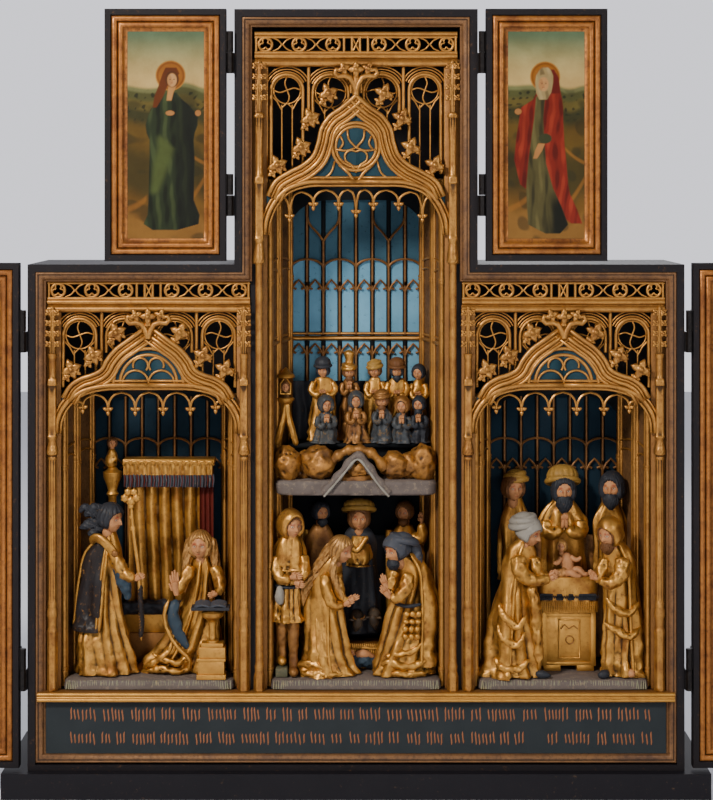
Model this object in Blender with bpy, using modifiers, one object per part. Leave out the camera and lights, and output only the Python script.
"""Carved altarpiece: a gilt three-niche case on a plinth, with four hinged painted wings."""
import math

import bmesh
import bpy
from mathutils import Vector

MM = 0.001
GAP = 0.3 * MM

# Plinth and case
PLINTH_WIDTH = 1.414
PLINTH_HEIGHT = 0.052
PLINTH_MARGIN = 0.020
CASE_WIDTH = 1.314
CASE_DEPTH = 0.260
SHOULDER_HEIGHT = 1.065
TOWER_WIDTH = 0.487
TOTAL_HEIGHT = 1.576
CASE_BOARD = 0.015
BOTTOM_BOARD = 0.012
BACK_BOARD = 0.012
FLOOR_TOP = 0.210
FLOOR_BOARD = 0.014
DIVIDER_INSET = 0.0365
DIVIDER_BOARD = 0.010

# Gilt moulding round the front, the nosing of the floor and the inscription board
MOULDING_WIDTH = 0.020
MOULDING_DEPTH = 0.020
REBATE_DEPTH = 0.024
NOSING_HEIGHT = 0.020
NOSING_PROJECTION = 0.008
NOSING_OVERLAP = 0.016
INSCRIPTION_RECESS = 0.010

# Openwork canopies, measured down from the top of their opening
FRIEZE_HEIGHT = 0.035
CORNICE_HEIGHT = 0.028
FRIEZE_FRONT = 0.018
FRIEZE_THICKNESS = 0.009
CORNICE_FRONT = 0.0162
CORNICE_RETURN = 0.001
ROUNDEL_RADIUS = 0.0136
ROUNDEL_PITCH = 0.068
CANOPY_FRONT = 0.026
CANOPY_THICKNESS = 0.010
HOOD_FRONT = 0.006
HOOD_BACK = 0.0255
CROCKET_SIZE = 0.017
CROCKET_STALK = 0.005
SIDE_CANOPY_DROP = 0.242
CENTRE_CANOPY_DROP = 0.338
FINIAL_DEPTH = 0.0065
FINIAL_HALF = 0.0085
SCROLL_OFFSET = 0.027

# Piers
PIER_RADIUS = 0.0116
PIER_INSET = 0.0130
PIER_DEPTH = 0.0127
PIER_SIDES = 6
PINNACLE_DROP = 0.013

# Niche linings
LINING_FRONT = 0.042
LINING_BACK = 0.212
DRAWN_BAY_HALF = 0.205
MOUTH_INSET = 0.029
END_INSET = 0.067
TOWER_HEADROOM = 0.0165
FRIEZE_LAP = 0.002
LINING_WALL = 0.008
GRILLE_THICKNESS = 0.006
LIGHT_COUNT = 8
MULLION = 0.006
COLONNETTE_RADIUS = 0.007
SIDE_LINING_TOP = 0.800
CENTRE_LINING_TOP = 1.240
TRANSOM_HEIGHT = 0.905
TRANSOM_THICKNESS = 0.012

# Ground slabs and the rock ledge of the upper scene
SLAB_HEIGHT = 0.020
SLAB_FRONT = 0.014
SLAB_BACK = 0.203
LEDGE_TOP = 0.629
LEDGE_THICKNESS = 0.034
HILL_HEIGHT = 0.050

# Wings and their hinges
WING_GAP = 0.016
WING_THICKNESS = 0.024
WING_EDGE = 0.012
WING_MOULDING = 0.034
WING_RECESS = 0.010
PANEL_THICKNESS = 0.007
CLOSING_GAP = 0.0015
LOWER_WING_BOTTOM = 0.060
LOWER_WING_RISE = 0.003
UPPER_WING_CLEARANCE = 0.007
WING_FACE_CLEARANCE = 0.001
HINGE_LENGTH = 0.084
KNUCKLE_RADIUS = 0.0068
KNUCKLE_GAP = 0.0006
LEAF_THICKNESS = 0.0016
LEAF_DEPTH = 0.024
LEAF_START = 0.001
LOWER_HINGE_SHARES = (0.1538, 0.8234)
UPPER_HINGE_SHARES = (0.1786, 0.7440)

# The place from which the carvings were laid out in elevation
SIGHT_DISTANCE = 3.8

# Neighbouring faces that lean less than this, in degrees, are merged
FLAT_ANGLE = 3

FRONT = -CASE_DEPTH / 2
BACK = CASE_DEPTH / 2
HALF_BODY = CASE_WIDTH / 2
HALF_TOWER = TOWER_WIDTH / 2
OPENING_HALF = HALF_BODY - CASE_BOARD - MOULDING_WIDTH
SHOULDER_OPENING_TOP = SHOULDER_HEIGHT - CASE_BOARD - MOULDING_WIDTH
TOWER_OPENING_TOP = TOTAL_HEIGHT - CASE_BOARD - MOULDING_WIDTH
UPPER_WING_BOTTOM = SHOULDER_HEIGHT + UPPER_WING_CLEARANCE
DIVIDER_PLACE = HALF_TOWER - DIVIDER_INSET
BAY_INNER = DIVIDER_PLACE + DIVIDER_BOARD / 2
BAY_CENTRE = (OPENING_HALF + BAY_INNER) / 2
BAY_HALF = (OPENING_HALF - BAY_INNER) / 2
TOWER_BAY_HALF = DIVIDER_PLACE - FRIEZE_LAP
LINING_MOUTH = DRAWN_BAY_HALF - MOUTH_INSET
LINING_END = DRAWN_BAY_HALF - END_INSET
TOWER_SCREEN_TOP = TOWER_OPENING_TOP - TOWER_HEADROOM
GROUND = FLOOR_TOP + SLAB_HEIGHT

COLOURS = {
    "black_wood": ((0.020, 0.019, 0.021), 0.55, 0.0),
    "gilding": ((0.62, 0.36, 0.11), 0.38, 0.75),
    "old_gold": ((0.42, 0.22, 0.06), 0.45, 0.6),
    "dark_board": ((0.028, 0.032, 0.035), 0.6, 0.0),
    "ground_paint": ((0.08, 0.08, 0.05), 0.7, 0.0),
    "iron": ((0.03, 0.03, 0.03), 0.45, 0.8),
    "dark_paint": ((0.07, 0.05, 0.05), 0.6, 0.0),
}


def clear_scene():
    for item in list(bpy.data.objects):
        bpy.data.objects.remove(item)


def make_collection(name):
    collection = bpy.data.collections.new(name)
    bpy.context.scene.collection.children.link(collection)
    return collection


def make_materials():
    materials = {}
    for name, (colour, roughness, metallic) in COLOURS.items():
        material = bpy.data.materials.new(name)
        material.use_nodes = True
        shader = material.node_tree.nodes["Principled BSDF"]
        shader.inputs["Base Color"].default_value = (*colour, 1.0)
        shader.inputs["Roughness"].default_value = roughness
        shader.inputs["Metallic"].default_value = metallic
        materials[name] = material
    return materials


clear_scene()
PARTS = make_collection("altarpiece")
CUTTERS = make_collection("cutters")
MATERIALS = make_materials()


def link(name, mesh, collection=None):
    item = bpy.data.objects.new(name, mesh)
    (collection or PARTS).objects.link(item)
    return item


def from_bmesh(name, bm, collection=None):
    mesh = bpy.data.meshes.new(name)
    bm.to_mesh(mesh)
    bm.free()
    return link(name, mesh, collection)


def box(name, low, high, collection=None):
    """An upright block between two opposite corners."""
    bm = bmesh.new()
    bmesh.ops.create_cube(bm, size=1.0)
    low = Vector(low)
    high = Vector(high)
    size = high - low
    for vertex in bm.verts:
        vertex.co = Vector([low[i] + (vertex.co[i] + 0.5) * size[i] for i in range(3)])
    return from_bmesh(name, bm, collection)


def baked(item, name=None):
    """Replace an object by a plain mesh of its evaluated shape, in place."""
    bpy.context.view_layer.update()
    graph = bpy.context.evaluated_depsgraph_get()
    mesh = bpy.data.meshes.new_from_object(item.evaluated_get(graph))
    bm = bmesh.new()
    bm.from_mesh(mesh)
    bmesh.ops.remove_doubles(bm, verts=bm.verts, dist=0.00001)
    bm.transform(item.matrix_world)
    bm.to_mesh(mesh)
    bm.free()
    new_name = name or item.name
    collection = item.users_collection[0]
    bpy.data.objects.remove(item)
    result = link(new_name, mesh, collection)
    result.name = new_name
    return result


def plate(name, outline, holes, front, thickness):
    """A flat outline in the XZ plane with holes, from front backwards."""
    curve = bpy.data.curves.new(name, "CURVE")
    curve.dimensions = "2D"
    curve.fill_mode = "BOTH"
    curve.extrude = thickness / 2
    for loop in [outline] + list(holes):
        spline = curve.splines.new("POLY")
        spline.points.add(len(loop) - 1)
        for point, (x, z) in zip(spline.points, loop):
            point.co = (x, z, 0.0, 1.0)
        spline.use_cyclic_u = True
    item = link(name, curve)
    item.rotation_euler = (math.radians(90), 0, 0)
    item.location = (0, front + thickness / 2, 0)
    return baked(item)


def plan_prism(name, outline, bottom, top):
    """A flat outline in the XY plane, standing from bottom to top."""
    curve = bpy.data.curves.new(name, "CURVE")
    curve.dimensions = "2D"
    curve.fill_mode = "BOTH"
    curve.extrude = (top - bottom) / 2
    spline = curve.splines.new("POLY")
    spline.points.add(len(outline) - 1)
    for point, (x, y) in zip(spline.points, outline):
        point.co = (x, y, 0.0, 1.0)
    spline.use_cyclic_u = True
    item = link(name, curve)
    item.location = (0, 0, (top + bottom) / 2)
    return baked(item)


def turned(name, profile, location, steps=PIER_SIDES):
    """A turned post: the profile lists (radius, height) from the top down."""
    mesh = bpy.data.meshes.new(name)
    points = [(radius, 0.0, height) for radius, height in profile]
    edges = [(i, i + 1) for i in range(len(points) - 1)]
    mesh.from_pydata(points, edges, [])
    item = link(name, mesh)
    item.location = location
    screw = item.modifiers.new("turn", "SCREW")
    screw.axis = "Z"
    screw.steps = steps
    screw.render_steps = steps
    screw.use_merge_vertices = True
    screw.merge_threshold = 0.00005
    return baked(item)


def ellipsoid(name, centre, radii, segments=6, rings=4):
    bm = bmesh.new()
    bmesh.ops.create_uvsphere(bm, u_segments=segments, v_segments=rings, radius=1.0)
    for vertex in bm.verts:
        vertex.co = Vector([centre[i] + vertex.co[i] * radii[i] for i in range(3)])
    return from_bmesh(name, bm)


def lump(name, centre, radii):
    """A leafy lump: the coarsest ball."""
    bm = bmesh.new()
    bmesh.ops.create_icosphere(bm, subdivisions=1, radius=1.0)
    for vertex in bm.verts:
        vertex.co = Vector([centre[i] + vertex.co[i] * radii[i] for i in range(3)])
    return from_bmesh(name, bm)


def limb(name, points, radii, resolution=1):
    """A tapering arm, leg or staff along a few points."""
    curve = bpy.data.curves.new(name, "CURVE")
    curve.dimensions = "3D"
    curve.bevel_depth = 1.0
    curve.bevel_resolution = resolution
    curve.use_fill_caps = True
    spline = curve.splines.new("POLY")
    spline.points.add(len(points) - 1)
    for point, place, radius in zip(spline.points, points, radii):
        point.co = (*place, 1.0)
        point.radius = radius
    return baked(link(name, curve))


def loft(name, rings, sides, pleat):
    """A closed body through level ellipses (x, y, z, half width, half depth), bottom up.

    The pleats are deepest at the hem and die out towards the shoulders.
    """
    bm = bmesh.new()
    loops = []
    top = len(rings) - 1
    for index, (x, y, z, half_width, half_depth) in enumerate(rings):
        depth = pleat * (1 - index / top)
        loop = []
        for k in range(sides):
            angle = math.tau * k / sides
            factor = 1 - depth * (k % 2)
            loop.append(bm.verts.new((
                x + half_width * factor * math.cos(angle),
                y + half_depth * factor * math.sin(angle),
                z)))
        loops.append(loop)
    for low, high in zip(loops, loops[1:]):
        for k in range(sides):
            after = (k + 1) % sides
            bm.faces.new((low[k], low[after], high[after], high[k]))
    bm.faces.new(list(reversed(loops[0])))
    bm.faces.new(loops[-1])
    return from_bmesh(name, bm)


def combine(name, base, others, operation="UNION"):
    """Join or cut closed bodies into one mesh, and drop the others."""
    operands = make_collection("operands")
    for other in others:
        operands.objects.link(other)
    modifier = base.modifiers.new("join", "BOOLEAN")
    modifier.operation = operation
    modifier.solver = "EXACT"
    modifier.operand_type = "COLLECTION"
    modifier.collection = operands
    result = baked(base, name)
    for other in others:
        bpy.data.objects.remove(other)
    bpy.data.collections.remove(operands)
    return result


def cutter(name, low, high):
    item = box(name, low, high, CUTTERS)
    item.hide_render = True
    item.display_type = "WIRE"
    return item


def merge_flat(item):
    """Merge faces that lie almost in one plane, then cut every face into triangles."""
    bm = bmesh.new()
    bm.from_mesh(item.data)
    bmesh.ops.dissolve_limit(bm, angle_limit=math.radians(FLAT_ANGLE), verts=bm.verts,
                             edges=bm.edges)
    bmesh.ops.triangulate(bm, faces=bm.faces)
    bm.to_mesh(item.data)
    bm.free()


def finish(item, name, material):
    merge_flat(item)
    item.name = name
    item.data.materials.clear()
    item.data.materials.append(MATERIALS[material])
    item.data.set_sharp_from_angle(angle=math.radians(35))
    return item


def mirrored_pairs(points):
    """A symmetric outline from its right half, listed from the top to the bottom."""
    return list(points) + [(-x, z) for x, z in reversed(points) if x > 0]


def t_outline(half_body, half_tower, bottom, shoulder, top):
    return [(-half_body, bottom), (half_body, bottom), (half_body, shoulder),
            (half_tower, shoulder), (half_tower, top), (-half_tower, top),
            (-half_tower, shoulder), (-half_body, shoulder)]


def inset_outline(outline, distance):
    """A mitred copy of a right-angled outline that runs counter-clockwise, moved inwards."""
    result = []
    count = len(outline)
    for i, (x, z) in enumerate(outline):
        before = Vector(outline[i]) - Vector(outline[i - 1])
        after = Vector(outline[(i + 1) % count]) - Vector(outline[i])
        before.normalize()
        after.normalize()
        inward = Vector((-before.y, before.x)) + Vector((-after.y, after.x))
        result.append((x + inward.x * distance, z + inward.y * distance))
    return result


def mitred_ring(name, outline, profile):
    """A moulding round an outline; the profile lists (inward, y) as a closed loop."""
    bm = bmesh.new()
    loops = []
    for inward, y in profile:
        loops.append([bm.verts.new((x, y, z)) for x, z in inset_outline(outline, inward)])
    count = len(outline)
    for this, following in zip(loops, loops[1:] + loops[:1]):
        for k in range(count):
            after = (k + 1) % count
            bm.faces.new((this[k], this[after], following[after], following[k]))
    bmesh.ops.recalc_face_normals(bm, faces=bm.faces)
    return from_bmesh(name, bm)


def plinth_board():
    half_depth = CASE_DEPTH / 2 + PLINTH_MARGIN
    board = box("plinth", (-PLINTH_WIDTH / 2, -half_depth, 0),
                (PLINTH_WIDTH / 2, half_depth, PLINTH_HEIGHT - GAP))
    return finish(board, "plinth_board", "black_wood")


def case():
    """The carcass: boards of real thickness round three niches and a base compartment."""
    outline = t_outline(HALF_BODY, HALF_TOWER, PLINTH_HEIGHT, SHOULDER_HEIGHT, TOTAL_HEIGHT)
    body = plate("case", outline, [], FRONT, CASE_DEPTH)
    reach = FRONT - CASE_BOARD
    end = BACK - BACK_BOARD
    inner = HALF_BODY - CASE_BOARD
    bay_edge = DIVIDER_PLACE + DIVIDER_BOARD / 2
    niche_edge = DIVIDER_PLACE - DIVIDER_BOARD / 2
    bay_top = SHOULDER_HEIGHT - CASE_BOARD
    tower_inner = HALF_TOWER - CASE_BOARD
    tower_top = TOTAL_HEIGHT - CASE_BOARD
    base = PLINTH_HEIGHT + BOTTOM_BOARD
    rebate = FRONT + REBATE_DEPTH
    cutters = [
        cutter("left_bay", (-inner, reach, FLOOR_TOP), (-bay_edge, end, bay_top)),
        cutter("right_bay", (bay_edge, reach, FLOOR_TOP), (inner, end, bay_top)),
        cutter("middle_bay", (-niche_edge, reach, FLOOR_TOP), (niche_edge, end, tower_top)),
        cutter("tower", (-tower_inner, reach, SHOULDER_HEIGHT), (tower_inner, end, tower_top)),
        cutter("compartment", (-inner, reach, base), (inner, end, FLOOR_TOP - FLOOR_BOARD)),
        cutter("front_rebate", (-inner, reach, base), (inner, rebate, bay_top)),
        cutter("tower_rebate", (-tower_inner, reach, base), (tower_inner, rebate, tower_top)),
    ]
    return finish(combine("case", body, cutters, "DIFFERENCE"), "case", "black_wood")


def gilt_frame():
    """The hollow moulding that runs round the whole front opening."""
    outline = t_outline(HALF_BODY - CASE_BOARD - GAP, HALF_TOWER - CASE_BOARD - GAP,
                        PLINTH_HEIGHT + BOTTOM_BOARD + GAP, SHOULDER_HEIGHT - CASE_BOARD - GAP,
                        TOTAL_HEIGHT - CASE_BOARD - GAP)
    width = MOULDING_WIDTH - GAP
    lip = width * 0.22
    profile = [(0, FRONT), (lip, FRONT), (width * 0.45, FRONT + MOULDING_DEPTH * 0.45),
               (width - lip / 2, FRONT + MOULDING_DEPTH * 0.55), (width, FRONT + MOULDING_DEPTH * 0.7),
               (width, FRONT + MOULDING_DEPTH), (0, FRONT + MOULDING_DEPTH)]
    return finish(mitred_ring("ring", outline, profile), "gilt_frame", "old_gold")


def floor_nosing():
    """The rounded gilt edge of the niche floor, with a tongue into the rebate."""
    outer = OPENING_HALF + NOSING_OVERLAP
    tongue = OPENING_HALF - GAP
    front = FRONT - NOSING_PROJECTION
    outline = [(-outer, front), (outer, front), (outer, FRONT - GAP), (tongue, FRONT - GAP),
               (tongue, FRONT + REBATE_DEPTH - GAP), (-tongue, FRONT + REBATE_DEPTH - GAP),
               (-tongue, FRONT - GAP), (-outer, FRONT - GAP)]
    nosing = plan_prism("nosing", outline, FLOOR_TOP - NOSING_HEIGHT, FLOOR_TOP)
    return finish(nosing, "floor_nosing", "gilding")


def inscription_board():
    bottom = PLINTH_HEIGHT + BOTTOM_BOARD + MOULDING_WIDTH + GAP
    half = OPENING_HALF - GAP
    board = box("board", (-half, FRONT + INSCRIPTION_RECESS, bottom),
                (half, FRONT + REBATE_DEPTH - GAP, FLOOR_TOP - NOSING_HEIGHT - GAP))
    return finish(board, "inscription_board", "dark_board")


def arc(centre, radius, start, end, steps):
    """Points of a round arc in degrees, both ends included."""
    points = []
    for i in range(steps + 1):
        angle = math.radians(start + (end - start) * i / steps)
        points.append((centre[0] + radius * math.cos(angle), centre[1] + radius * math.sin(angle)))
    return points


def across(centre, x):
    """The place of a drawn offset in a bay, which is spread to the bay's real width."""
    real_half = TOWER_BAY_HALF if centre == 0 else BAY_HALF
    return centre + x * real_half / DRAWN_BAY_HALF


def shifted(points, centre):
    return [(across(centre, x), z) for x, z in points]


def frieze(name, centre, top):
    """A pierced band of roundels with a cornice below it."""
    half = DRAWN_BAY_HALF - GAP
    bottom = top - FRIEZE_HEIGHT
    middle = (top + bottom) / 2
    rail = FRIEZE_HEIGHT / 2 - ROUNDEL_RADIUS - 0.0012
    outline = [(-half, bottom - CORNICE_HEIGHT), (half, bottom - CORNICE_HEIGHT),
               (half, top - GAP), (-half, top - GAP)]
    holes = []
    for side in (-1, 1):
        for k in range(3):
            place = side * (ROUNDEL_PITCH * (k + 0.68))
            holes.append(arc((place, middle), ROUNDEL_RADIUS, 0, 315, 7))
            if k < 2:
                between = place + side * ROUNDEL_PITCH / 2
                width = ROUNDEL_PITCH / 2 - ROUNDEL_RADIUS - 0.004
                holes.append([(between - width, middle + ROUNDEL_RADIUS - rail),
                              (between, middle - ROUNDEL_RADIUS + rail),
                              (between + width, middle + ROUNDEL_RADIUS - rail)])
    panel = plate(name, shifted(outline, centre), [shifted(hole, centre) for hole in holes],
                  FRONT + FRIEZE_FRONT, FRIEZE_THICKNESS)
    back = FRONT + FRIEZE_FRONT + FRIEZE_THICKNESS / 2
    bar = box("bar", (across(centre, CORNICE_RETURN - half), FRONT + CORNICE_FRONT,
                      bottom - CORNICE_HEIGHT + CORNICE_RETURN),
              (across(centre, half - CORNICE_RETURN), back, bottom - CORNICE_RETURN))
    return finish(combine(name, panel, [bar]), name, "gilding")


# Each canopy is drawn from its own centre line; heights are measured down from the cornice.
SIDE_HOOD = [(0.000, 0.021), (0.018, 0.032), (0.040, 0.048), (0.068, 0.071), (0.086, 0.093),
             (0.097, 0.114), (0.111, 0.120), (0.136, 0.128), (0.161, 0.146), (0.173, 0.166)]
SIDE_ARCH = [(0.176, 0.242), (0.173, 0.222), (0.157, 0.186), (0.128, 0.164), (0.094, 0.155)]
SIDE_FRINGE = [(0.150, 0.186), (0.134, 0.202), (0.118, 0.176), (0.106, 0.168), (0.092, 0.180),
               (0.083, 0.204), (0.074, 0.180), (0.055, 0.162), (0.036, 0.180), (0.028, 0.204),
               (0.019, 0.180), (0.000, 0.162)]
SIDE_WINDOWS = [[(0.107, 0.116), (0.107, 0.024), (0.122, 0.010), (0.158, 0.010), (0.173, 0.024),
                 (0.173, 0.158), (0.150, 0.134)],
                [(0.017, 0.026), (0.017, 0.020), (0.030, 0.010), (0.072, 0.010), (0.085, 0.022),
                 (0.085, 0.088), (0.060, 0.060)]]
SIDE_CROCKETS = [(0.154, 0.112), (0.110, 0.084), (0.064, 0.038)]
CENTRE_HOOD = [(0.000, 0.052), (0.010, 0.060), (0.030, 0.079), (0.056, 0.098), (0.072, 0.122),
               (0.078, 0.152), (0.086, 0.176), (0.107, 0.199), (0.134, 0.210), (0.164, 0.230),
               (0.178, 0.253)]
CENTRE_ARCH = [(0.176, 0.338), (0.170, 0.311), (0.157, 0.280), (0.134, 0.253), (0.100, 0.241)]
CENTRE_FRINGE = [(0.148, 0.285), (0.134, 0.311), (0.120, 0.268), (0.104, 0.254), (0.094, 0.262),
                 (0.086, 0.285), (0.078, 0.262), (0.060, 0.248), (0.044, 0.262), (0.035, 0.285),
                 (0.026, 0.262), (0.012, 0.252), (0.000, 0.299)]
CENTRE_WINDOWS = [[(0.107, 0.196), (0.107, 0.030), (0.122, 0.015), (0.156, 0.015), (0.171, 0.030),
                   (0.171, 0.228), (0.140, 0.209)],
                  [(0.017, 0.062), (0.017, 0.028), (0.030, 0.015), (0.072, 0.015), (0.085, 0.030),
                   (0.085, 0.165), (0.076, 0.120), (0.055, 0.092)]]
CENTRE_CROCKETS = [(0.158, 0.197), (0.110, 0.161), (0.092, 0.103), (0.056, 0.053)]
TYMPANUM_RADIUS = 0.057
TYMPANUM_DROP = 0.141
ROSE_RADIUS = 0.041
ROSE_DROP = 0.160


def hung(points, top):
    """Turn drops below the cornice into heights."""
    return [(x, top - drop) for x, drop in points]


def canopy(name, centre, top, drop, arch, fringe, windows, eye):
    """The openwork screen: two pairs of windows and a cusped fringe below the arch."""
    half = DRAWN_BAY_HALF - GAP
    lower = [(half, 0), (half, drop)] + arch[:2] + fringe
    outline = mirrored_pairs(hung(lower, top))
    holes = []
    for window in windows:
        right = hung(window, top)
        holes.append(right)
        holes.append([(-x, z) for x, z in reversed(right)])
    holes.append([(x, top - drop) for x, drop in eye])
    panel = plate(name, shifted(outline, centre), [shifted(hole, centre) for hole in holes],
                  FRONT + CANOPY_FRONT, CANOPY_THICKNESS)
    return finish(panel, name, "gilding")


def with_crockets(ogee, crockets):
    """The hood's upper line with a leaf standing on it at each crocket's place."""
    line = list(ogee)
    for x, drop in crockets:
        root = min(range(1, len(ogee) - 1), key=lambda i: math.dist(ogee[i], (x, drop)))
        leaf = Vector((x, drop))
        foot = Vector(ogee[root])
        stalk = (foot - leaf).normalized()
        across = Vector((-stalk.y, stalk.x))
        if across.x < 0:
            across = -across
        rise = -stalk * CROCKET_SIZE
        width = across * CROCKET_SIZE
        stem = across * CROCKET_STALK
        petals = [foot - stem, leaf - width + stalk * CROCKET_STALK, leaf - width * 0.8 + rise * 0.7,
                  leaf + rise, leaf + width * 0.8 + rise * 0.7, leaf + width + stalk * CROCKET_STALK,
                  foot + stem]
        spot = line.index(ogee[root])
        line[spot:spot + 1] = [tuple(petal) for petal in petals]
    return line


def ogee_hood(name, centre, top, ogee, arch, crockets, eye, finial):
    """The ogee hood and the mouldings of the arch below it, with crockets and a finial."""
    foot = arch[0][1]
    right = with_crockets(ogee, crockets) + [(ogee[-1][0] + 0.004, foot)] + arch
    outline = mirrored_pairs(hung(right, top))
    band = plate(name, shifted(outline, centre),
                 [shifted([(x, top - drop) for x, drop in eye], centre)],
                 FRONT + HOOD_FRONT, HOOD_BACK - HOOD_FRONT)
    leaves = []
    stem_top = top - finial
    tip = top - ogee[0][1]
    near = FRONT + FINIAL_DEPTH
    leaves.append(limb("stem", [(centre, near, tip - 0.012), (centre, near, stem_top)],
                       [0.0075, 0.006]))
    leaves.append(lump("bud", (centre, near, stem_top + 0.004), (0.018, FINIAL_HALF, 0.014)))
    for side in (-1, 1):
        leaves.append(lump("scroll", (centre + side * SCROLL_OFFSET, near, stem_top - 0.008),
                           (0.026, FINIAL_HALF, 0.014)))
    return finish(combine(name, band, leaves), name, "gilding")


def canopies():
    """The three bays' friezes, screens and hoods."""
    tympanum = arc((0, TYMPANUM_DROP), TYMPANUM_RADIUS, 180, 360, 10)
    rose = arc((0, ROSE_DROP), ROSE_RADIUS, 0, 330, 11)
    bays = [("left", -BAY_CENTRE), ("right", BAY_CENTRE)]
    cornice = FRIEZE_HEIGHT + CORNICE_HEIGHT + GAP
    for side, centre in bays:
        frieze("frieze_" + side, centre, SHOULDER_OPENING_TOP)
        top = SHOULDER_OPENING_TOP - cornice
        canopy("canopy_" + side, centre, top, SIDE_CANOPY_DROP, SIDE_ARCH, SIDE_FRINGE,
               SIDE_WINDOWS, tympanum)
        ogee_hood("hood_" + side, centre, top, SIDE_HOOD, SIDE_ARCH, SIDE_CROCKETS,
                  tympanum, 0.004)
    frieze("frieze_centre", 0, TOWER_SCREEN_TOP)
    top = TOWER_SCREEN_TOP - cornice
    canopy("canopy_centre", 0, top, CENTRE_CANOPY_DROP, CENTRE_ARCH, CENTRE_FRINGE,
           CENTRE_WINDOWS, rose)
    ogee_hood("hood_centre", 0, top, CENTRE_HOOD, CENTRE_ARCH, CENTRE_CROCKETS, rose, 0.004)


def pier(name, x, top, foot, stations):
    """A pier from a pinnacle down to its pedestal; stations are (radius share, drop share)."""
    height = top - foot
    profile = [(0.0, top)]
    for share, drop in stations:
        profile.append((PIER_RADIUS * share, top - height * drop))
    profile.append((PIER_RADIUS * stations[-1][0], foot))
    profile.append((0.0, foot))
    item = turned(name, profile, (x, FRONT + PIER_DEPTH, 0))
    return finish(item, name, "gilding")


SIDE_PIER = [(0.22, 0.010), (0.40, 0.125), (0.72, 0.128), (0.72, 0.187), (0.98, 0.192),
             (0.98, 0.335), (0.80, 0.343), (1.00, 0.375), (0.72, 0.385), (0.78, 0.770),
             (0.98, 0.782), (0.98, 0.818), (0.80, 0.830), (1.00, 0.860)]
CENTRE_PIER = [(0.22, 0.006), (0.42, 0.086), (0.74, 0.088), (0.74, 0.184), (1.00, 0.190),
               (1.00, 0.282), (0.84, 0.286), (1.00, 0.320), (0.78, 0.326), (0.78, 0.960),
               (1.00, 0.975)]


def piers():
    foot = FLOOR_TOP + GAP
    side_place = BAY_HALF - PIER_INSET
    for side, centre in (("left", -BAY_CENTRE), ("right", BAY_CENTRE)):
        for place, offset in (("outer", -1), ("inner", 1)):
            away = offset if side == "left" else -offset
            pier("pier_" + side + "_" + place, centre + away * side_place,
                 SHOULDER_OPENING_TOP - FRIEZE_HEIGHT - PINNACLE_DROP, foot, SIDE_PIER)
    for side, sign in (("left", -1), ("right", 1)):
        pier("pier_tower_" + side, sign * (DIVIDER_PLACE - PIER_INSET),
             TOWER_SCREEN_TOP - FRIEZE_HEIGHT - PINNACLE_DROP, foot, CENTRE_PIER)


def jamb(side, centre, bottom, top):
    """A canted wall from the niche mouth to the grille, with a colonnette at each end."""
    mouth = Vector((across(centre, side * LINING_MOUTH), FRONT + LINING_FRONT))
    end = Vector((across(centre, side * LINING_END), FRONT + LINING_BACK))
    along = (end - mouth).normalized()
    inward = Vector((-side, 0))
    inward = (inward - along * inward.dot(along)).normalized()
    radius = COLONNETTE_RADIUS
    outline = [mouth]
    for start in (mouth, end - along * 2 * radius):
        for angle in (0, 60, 120, 180):
            turn = math.radians(angle)
            spot = start + along * radius * (1 - math.cos(turn)) + inward * radius * math.sin(turn)
            if (spot - outline[-1]).length > GAP:
                outline.append(spot)
    outline += [end - inward * LINING_WALL, mouth - inward * LINING_WALL]
    return plan_prism("jamb", [tuple(corner) for corner in outline], bottom, top)


def lining(name, centre, top, arch_top, transom=None):
    """Canted jambs and the traceried grille before the painted back."""
    bottom = FLOOR_TOP + GAP
    half = LINING_END
    holes = []
    levels = [(bottom + 0.012, arch_top, LIGHT_COUNT)]
    if transom:
        levels = [(bottom + 0.012, transom - TRANSOM_THICKNESS / 2, LIGHT_COUNT),
                  (transom + TRANSOM_THICKNESS / 2, arch_top, LIGHT_COUNT)]
    levels.append((arch_top + 0.010, top - 0.012, LIGHT_COUNT // 2))
    for low, high, count in levels:
        light = (2 * half - MULLION) / count
        for k in range(count):
            left = -half + MULLION + k * light
            right = left + light - MULLION
            middle = (left + right) / 2
            spring = high - (right - left) * 0.8
            hole = [(left, low), (right, low), (right, high), (left, high)]
            if high == arch_top:
                hole = [(left, low), (right, low), (right, spring), (middle, high), (left, spring)]
            holes.append(hole)
    outline = [(-half, bottom), (half, bottom), (half, top), (-half, top)]
    grille = plate(name, shifted(outline, centre), [shifted(hole, centre) for hole in holes],
                   FRONT + LINING_BACK - GRILLE_THICKNESS / 2, GRILLE_THICKNESS)
    pieces = [jamb(-1, centre, bottom, top), jamb(1, centre, bottom, top)]
    if transom:
        front = FRONT + LINING_FRONT
        back = FRONT + LINING_BACK
        for side in (-1, 1):
            pieces.append(limb("rail", [(across(centre, side * LINING_MOUTH), front, transom),
                                        (across(centre, side * LINING_END), back, transom)],
                               [TRANSOM_THICKNESS / 2] * 2, 0))
        pieces.append(limb("rail", [(across(centre, -LINING_END), back, transom),
                                    (across(centre, LINING_END), back, transom)],
                           [TRANSOM_THICKNESS / 2] * 2, 0))
    return finish(combine(name, grille, pieces), name, "old_gold")


def linings():
    lining("lining_left", -BAY_CENTRE, SIDE_LINING_TOP, 0.690)
    lining("lining_right", BAY_CENTRE, SIDE_LINING_TOP, 0.690)
    lining("lining_centre", 0, CENTRE_LINING_TOP, 1.070, TRANSOM_HEIGHT)


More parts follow.
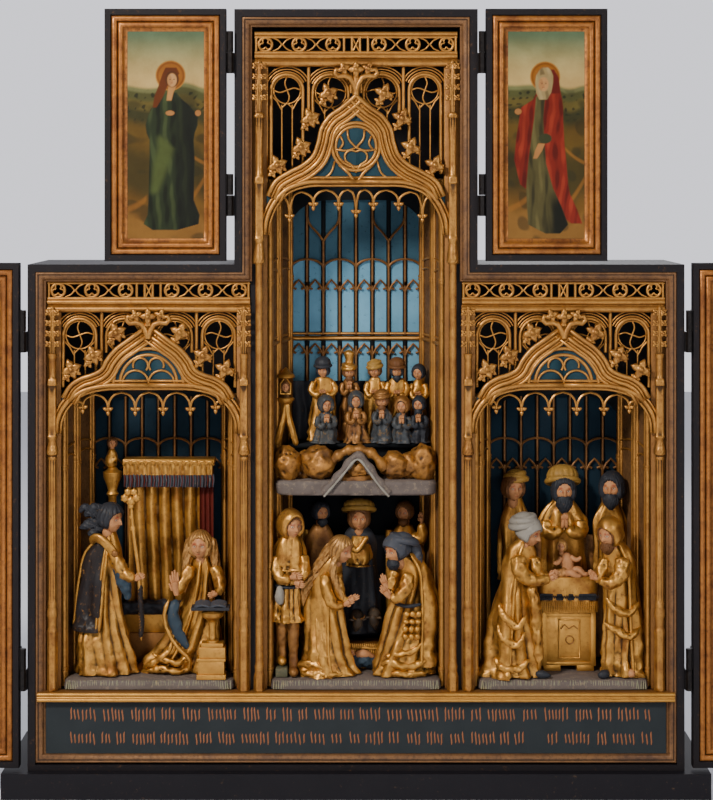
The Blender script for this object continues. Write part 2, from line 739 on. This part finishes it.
def ground(name, centre):
    """A scene's carved ground: a slab that narrows towards the grille."""
    front_half = LINING_MOUTH - 0.004
    back_half = LINING_END - COLONNETTE_RADIUS - 0.006
    front = FRONT + SLAB_FRONT
    back = FRONT + SLAB_BACK - GRILLE_THICKNESS
    neck = FRONT + LINING_FRONT + 0.010
    right = [(front_half, front), (front_half - 0.018, neck), (back_half, back)]
    outline = right + [(-x, y) for x, y in reversed(right)]
    slab = plan_prism("slab", shifted(outline, centre), FLOOR_TOP + GAP, GROUND - GAP)
    return finish(slab, name, "ground_paint")


def rock_ledge():
    """The shelf of the upper scene: a slab, a gable arch, rocks and the hill behind them."""
    front = FRONT + 0.046
    back = FRONT + LINING_BACK - GRILLE_THICKNESS - 0.004
    outline = [(-0.158, front), (0.158, front), (0.122, back), (-0.122, back)]
    slab = plan_prism("slab", outline, LEDGE_TOP - LEDGE_THICKNESS, LEDGE_TOP)
    hill_front = front + 0.036
    outline = [(-0.146, hill_front), (0.146, hill_front), (0.121, back - 0.001),
               (-0.121, back - 0.001)]
    pieces = [plan_prism("hill", outline, LEDGE_TOP - LEDGE_THICKNESS / 2, LEDGE_TOP + HILL_HEIGHT)]
    rocks = [(-0.124, 0.027), (-0.070, 0.031), (0.072, 0.026), (0.120, 0.031)]
    for x, half in rocks:
        pieces.append(ellipsoid("rock", (x, front + 0.030, LEDGE_TOP + 0.014), (half, 0.026, 0.034)))
    gable = [(-0.056, LEDGE_TOP - 0.020), (0.006, LEDGE_TOP + 0.056), (0.064, LEDGE_TOP - 0.020),
             (0.048, LEDGE_TOP - 0.020), (0.006, LEDGE_TOP + 0.034), (-0.040, LEDGE_TOP - 0.020)]
    pieces.append(plate("gable", gable, [], front - 0.008, 0.044))
    return finish(combine("rock_ledge", slab, pieces), "rock_ledge", "ground_paint")


class Place:
    """Where a carving stands: its bay's centre line, its ground and its mean depth in mm.

    Offsets are millimetres in front elevation, enlarged a little with the depth.
    """

    def __init__(self, centre, base, depth):
        self.scale = 1 + depth * MM / SIGHT_DISTANCE
        self.spread = across(centre, 1) - centre
        self.centre = centre
        self.base = base

    def point(self, x, depth, z):
        return (across(self.centre, x * MM) * self.scale, FRONT + depth * MM,
                self.base + GAP + z * MM * self.scale)

    def size(self, *values):
        return tuple(value * MM * self.scale for value in values)

    def ball(self, x, depth, z, half_width, half_depth, half_height):
        return ellipsoid("ball", self.point(x, depth, z),
                         self.size(half_width * self.spread, half_depth, half_height))

    def knob(self, x, depth, z, half_width, half_depth, half_height):
        return lump("knob", self.point(x, depth, z),
                    self.size(half_width * self.spread, half_depth, half_height))

    def arm(self, *stations):
        """Stations are (x, depth, z, radius)."""
        points = [self.point(x, depth, z) for x, depth, z, _ in stations]
        radii = [self.size(station[3])[0] for station in stations]
        return limb("arm", points, radii)

    def robe(self, *stations, sides=10, pleat=0.14):
        """Stations are (x, depth, z, half width, half depth), hem first."""
        rings = []
        for x, depth, z, half_width, half_depth in stations:
            rings.append((*self.point(x, depth, z), *self.size(half_width * self.spread, half_depth)))
        return loft("robe", rings, sides, pleat)

    def block(self, x, depth, z, half_width, half_depth, height):
        low = self.point(x - half_width, depth - half_depth, z)
        high = self.point(x + half_width, depth + half_depth, z + height)
        return box("block", low, high)


def carve(name, pieces, material="gilding"):
    return finish(combine(name, pieces[0], pieces[1:]), name, material)


def angel():
    """Winged hair and a long cope, turned to the right with a sceptre."""
    at = Place(-BAY_CENTRE, GROUND, 75)
    return carve("angel", [
        at.robe((-92, 76, 0, 54, 44), (-92, 76, 40, 52, 40), (-90, 76, 110, 46, 34),
                (-84, 74, 190, 42, 30), (-80, 72, 250, 39, 27), (-76, 70, 284, 17, 16), (-75, 69, 300, 10, 10)),
        at.ball(-75, 68, 312, 19, 20, 26),
        at.ball(-104, 74, 312, 27, 22, 30),
        at.arm((-62, 56, 258, 17), (-46, 44, 206, 17), (-12, 40, 196, 11)),
        at.arm((-26, 38, 352, 4), (-8, 40, 66, 5)),
        at.ball(-26, 38, 352, 15, 8, 15),
    ])


def kneeling_reader():
    at = Place(-BAY_CENTRE, GROUND, 100)
    return carve("kneeling_reader", [
        at.robe((70, 104, 0, 92, 40), (78, 104, 26, 80, 36), (104, 102, 90, 52, 32),
                (112, 100, 150, 40, 28), (116, 98, 204, 38, 26), (112, 94, 232, 14, 14)),
        at.ball(108, 90, 254, 18, 19, 24),
        at.ball(112, 96, 262, 21, 21, 32),
        at.arm((88, 80, 196, 14), (72, 66, 172, 13), (62, 62, 194, 9)),
        at.arm((140, 82, 196, 14), (148, 66, 172, 13), (142, 58, 168, 9)),
    ])


def lectern():
    at = Place(-BAY_CENTRE, GROUND, 30)
    return carve("lectern", [
        at.block(128, 34, 0, 29, 17, 42),
        at.block(130, 34, 41, 22, 13, 32),
        at.arm((130, 34, 60, 10), (129, 34, 126, 9)),
        at.ball(129, 34, 130, 24, 15, 15),
        at.block(126, 33, 138, 38, 18, 10),
    ])


def bed():
    """The canopied bed with its curtain, step and corner post."""
    at = Place(-BAY_CENTRE, GROUND, 165)
    return carve("bed", [
        at.block(30, 172, 0, 112, 20, 108),
        at.block(44, 182, 100, 86, 9, 260),
        at.block(44, 168, 356, 90, 24, 52),
        at.arm((-70, 166, 0, 12), (-70, 166, 350, 12)),
        at.arm((-70, 166, 340, 14), (-70, 166, 396, 20)),
        at.arm((-70, 166, 380, 16), (-70, 166, 440, 12)),
        at.ball(-70, 166, 442, 11, 11, 14),
    ])


def standing_man():
    at = Place(0, GROUND, 62)
    return carve("standing_man", [
        at.robe((-136, 62, 104, 29, 24), (-136, 62, 150, 27, 23), (-134, 62, 182, 24, 20),
                (-133, 62, 216, 32, 26), (-132, 62, 262, 31, 24), (-131, 62, 284, 14, 14),
                pleat=0.16),
        at.ball(-130, 60, 302, 22, 22, 34),
        at.arm((-149, 66, 2, 10), (-149, 66, 110, 12)),
        at.arm((-126, 54, 2, 10), (-126, 58, 110, 12)),
        at.arm((-150, 36, 7, 7), (-144, 74, 8, 8)),
        at.arm((-124, 26, 7, 7), (-124, 60, 8, 8)),
        at.arm((-152, 54, 244, 12), (-150, 42, 204, 11), (-120, 34, 198, 8)),
        at.arm((-110, 54, 244, 12), (-106, 42, 210, 11), (-120, 34, 198, 8)),
    ])


def kneeling_woman():
    at = Place(0, GROUND, 66)
    return carve("kneeling_woman", [
        at.robe((-60, 66, 0, 48, 38), (-60, 66, 30, 46, 35), (-60, 66, 100, 40, 30),
                (-58, 64, 160, 34, 26), (-52, 62, 206, 31, 24), (-42, 60, 234, 13, 13)),
        at.ball(-32, 58, 256, 17, 18, 24),
        at.arm((-38, 66, 268, 20), (-66, 74, 216, 20), (-84, 76, 166, 12)),
        at.arm((-34, 44, 200, 13), (-26, 34, 162, 12), (-4, 34, 148, 8)),
    ])


def kneeling_elder():
    at = Place(0, GROUND, 70)
    return carve("kneeling_elder", [
        at.robe((100, 68, 0, 62, 40), (100, 68, 34, 60, 37), (106, 68, 104, 52, 32),
                (108, 68, 164, 46, 28), (106, 66, 216, 44, 26), (98, 62, 240, 16, 15)),
        at.ball(86, 56, 252, 18, 20, 27),
        at.ball(98, 62, 270, 30, 24, 25),
        at.arm((72, 48, 204, 16), (66, 34, 168, 14), (58, 34, 184, 9)),
    ])


def stable_group():
    """Onlookers, two beasts and the child before them, carved in one block."""
    at = Place(0, GROUND, 150)
    return carve("stable_group", [
        at.block(0, 184, 0, 112, 9, 250),
        at.robe((8, 158, 100, 42, 24), (6, 158, 200, 40, 22),
                (6, 156, 258, 34, 20), (6, 154, 286, 13, 12), sides=8, pleat=0.1),
        at.ball(6, 148, 296, 17, 18, 22),
        at.ball(2, 154, 312, 38, 24, 22),
        at.robe((-72, 172, 100, 34, 18), (-72, 170, 250, 32, 18), (-71, 168, 290, 12, 12), sides=8, pleat=0.05),
        at.ball(-71, 162, 302, 17, 17, 25),
        at.robe((98, 172, 100, 38, 18), (98, 170, 250, 34, 18), (98, 168, 290, 12, 12), sides=8, pleat=0.05),
        at.ball(98, 162, 302, 17, 17, 26),
        at.arm((116, 160, 250, 13), (128, 146, 262, 11), (132, 142, 300, 8)),
        at.block(14, 132, 0, 30, 26, 56),
        at.arm((2, 128, 96, 14), (0, 108, 82, 9)),
        at.arm((34, 130, 98, 14), (36, 110, 84, 9)),
        at.block(16, 142, 50, 32, 14, 66),
        at.arm((-8, 98, 26, 11), (30, 104, 16, 12)),
        at.block(12, 108, 0, 16, 16, 22),
    ], "dark_paint")


def procession():
    """The upper scene's people, standing and kneeling on one strip of ground."""
    at = Place(0, LEDGE_TOP + HILL_HEIGHT, 120)
    pieces = [at.block(0, 143, 0, 126, 48, 8)]
    standing = [(-72, 130, 150, 30), (-18, 144, 152, 18), (42, 148, 152, 18), (84, 140, 154, 22),
                (118, 148, 150, 18)]
    for x, depth, head, half in standing:
        pieces.append(at.robe((x, depth, 2, half, 15), (x, depth, head * 0.8, half * 0.85, 13),
                              (x, depth, head * 0.95, 7, 7), sides=6, pleat=0.0))
        pieces.append(at.knob(x, depth - 2, head + 1, 11.5, 12, 17))
    kneeling = [(-62, 104, 98, 20), (2, 104, 104, 17), (50, 106, 104, 18), (94, 104, 98, 16),
                (126, 110, 98, 15)]
    for x, depth, head, half in kneeling:
        pieces.append(at.robe((x, depth, 2, half, 17), (x, depth, head * 0.8, half * 0.7, 11),
                              (x, depth, head * 0.95, 6, 6), sides=6, pleat=0.0))
        pieces.append(at.knob(x, depth - 3, head + 1, 10.5, 11, 15))
    pieces.append(at.arm((-122, 110, 2, 12), (-122, 108, 60, 8), (-124, 108, 112, 13)))
    pieces.append(at.robe((-124, 108, 104, 17, 12), (-124, 108, 160, 18, 12), (-124, 108, 182, 5, 4),
                          sides=6, pleat=0.0))
    return carve("procession", pieces)


def front_woman():
    at = Place(BAY_CENTRE, GROUND, 50)
    return carve("front_woman", [
        at.robe((-102, 52, 0, 58, 36), (-102, 52, 34, 55, 33), (-98, 52, 110, 47, 29),
                (-94, 52, 180, 42, 26), (-84, 52, 246, 39, 24), (-76, 52, 272, 14, 14)),
        at.ball(-70, 50, 292, 18, 19, 25),
        at.ball(-76, 54, 304, 28, 23, 24),
        at.arm((-60, 36, 242, 15), (-52, 28, 196, 14), (-22, 36, 198, 9)),
    ])


def hooded_man():
    at = Place(BAY_CENTRE, GROUND, 60)
    return carve("hooded_man", [
        at.robe((116, 60, 0, 40, 36), (114, 60, 40, 38, 33), (108, 60, 120, 38, 29),
                (106, 60, 180, 40, 27), (98, 58, 240, 38, 25), (92, 56, 266, 15, 15)),
        at.ball(90, 52, 290, 19, 20, 27),
        at.ball(88, 58, 300, 34, 24, 28),
        at.arm((84, 40, 236, 14), (82, 30, 196, 13), (58, 36, 200, 9)),
    ])


def altar_and_child():
    """The draped altar block, with the child on its cloth."""
    at = Place(BAY_CENTRE, GROUND, 110)
    return carve("altar_and_child", [
        at.block(6, 112, 0, 50, 24, 122),
        at.robe((4, 112, 116, 58, 30), (4, 112, 140, 60, 31), (4, 112, 162, 62, 32),
                (4, 112, 186, 62, 32), sides=16, pleat=0.0),
        at.robe((4, 108, 184, 22, 16), (4, 108, 212, 14, 11), (2, 108, 236, 10, 8), sides=8),
        at.ball(-6, 106, 248, 12, 12, 14),
        at.arm((6, 100, 192, 8), (34, 96, 198, 6)),
    ])


def back_men():
    """Three onlookers behind the altar, carved in one block."""
    at = Place(BAY_CENTRE, GROUND, 175)
    return carve("back_men", [
        at.block(0, 187, 0, 112, 11, 250),
        at.robe((-4, 174, 0, 46, 20), (-4, 174, 200, 48, 20), (-4, 172, 290, 44, 18),
                (-4, 168, 334, 13, 12), sides=8, pleat=0.06),
        at.ball(-4, 164, 346, 19, 19, 28),
        at.ball(-6, 168, 382, 42, 26, 26),
        at.arm((-30, 160, 262, 14), (-6, 146, 272, 10), (0, 146, 292, 7)),
        at.arm((26, 160, 262, 14), (6, 146, 272, 10), (0, 146, 292, 7)),
        at.robe((-98, 176, 200, 36, 18), (-98, 176, 296, 30, 16),
                (-98, 172, 338, 11, 10), sides=8, pleat=0.06),
        at.ball(-98, 168, 350, 18, 18, 26),
        at.ball(-100, 174, 366, 23, 18, 22),
        at.robe((88, 168, 200, 31, 16), (88, 168, 296, 31, 16),
                (90, 166, 338, 12, 11), sides=8, pleat=0.06),
        at.ball(90, 160, 352, 20, 19, 30),
    ])


def wing_solid(name, low_x, high_x, bottom, top):
    """A framed panel: black edge, stepped gilt moulding and a sunk painted board."""
    face = FRONT - NOSING_PROJECTION
    back = face + WING_THICKNESS
    outline = [(low_x, bottom), (high_x, bottom), (high_x, top), (low_x, top)]
    inner = WING_EDGE + WING_MOULDING
    profile = [(0, face), (WING_EDGE, face), (WING_EDGE + 0.003, face + 0.004),
               (WING_EDGE + WING_MOULDING * 0.45, face + 0.004),
               (WING_EDGE + WING_MOULDING * 0.5, face + 0.007), (inner, face + WING_RECESS),
               (inner, back), (0, back)]
    frame = mitred_ring(name, outline, profile)
    lap = 0.004
    panel_front = face + WING_RECESS + 0.001
    panel = box("panel", (low_x + inner - lap, panel_front, bottom + inner - lap),
                (high_x - inner + lap, panel_front + PANEL_THICKNESS, top - inner + lap))
    item = combine(name, frame, [panel])
    return finish(item, name, "old_gold")


def hinge(prefix, level, side, edge, bottom):
    """One lift-off iron hinge: the lower knuckle and leaf on the case, the upper on the wing."""
    pin_x = side * (edge + WING_GAP / 2)
    pin_y = FRONT - NOSING_PROJECTION - WING_FACE_CLEARANCE / 2
    middle = bottom + HINGE_LENGTH / 2
    spans = {"case": (-side, bottom, middle - KNUCKLE_GAP), "wing": (side, middle, bottom + HINGE_LENGTH)}
    for holder, (toward, low, high) in spans.items():
        knuckle = limb("knuckle", [(pin_x, pin_y, low), (pin_x, pin_y, high)], [KNUCKLE_RADIUS] * 2)
        reach = WING_GAP / 2 - GAP
        ends = sorted((pin_x + toward * (reach - LEAF_THICKNESS), pin_x + toward * reach))
        leaf = box("leaf", (ends[0], pin_y + LEAF_START, low + GAP),
                   (ends[1], pin_y + LEAF_START + LEAF_DEPTH, high - GAP))
        name = prefix + "_hinge_" + level + "_" + holder
        finish(combine(name, knuckle, [leaf]), name, "iron")


def wings():
    """Two upper and two lower wings, each on two hinges, standing open."""
    lower_top = SHOULDER_HEIGHT + LOWER_WING_RISE
    sets = [("upper", HALF_TOWER, UPPER_WING_BOTTOM, TOTAL_HEIGHT, UPPER_HINGE_SHARES),
            ("lower", HALF_BODY, LOWER_WING_BOTTOM, lower_top, LOWER_HINGE_SHARES)]
    for level, edge, bottom, top, hinge_shares in sets:
        width = edge - CLOSING_GAP / 2
        for side_name, side in (("left", -1), ("right", 1)):
            near = side * (edge + WING_GAP)
            far = side * (edge + WING_GAP + width)
            low_x, high_x = sorted((near, far))
            prefix = level + "_" + side_name
            wing_solid(prefix + "_wing", low_x, high_x, bottom, top)
            for share, label in zip(hinge_shares, ("low", "high")):
                hinge(prefix, label, side, edge, bottom + (top - bottom) * share)


def build():
    plinth_board()
    case()
    gilt_frame()
    floor_nosing()
    inscription_board()
    canopies()
    piers()
    linings()
    ground("ground_left", -BAY_CENTRE)
    ground("ground_centre", 0)
    ground("ground_right", BAY_CENTRE)
    rock_ledge()
    angel()
    kneeling_reader()
    lectern()
    bed()
    standing_man()
    kneeling_woman()
    kneeling_elder()
    stable_group()
    procession()
    front_woman()
    hooded_man()
    altar_and_child()
    back_men()
    wings()


build()
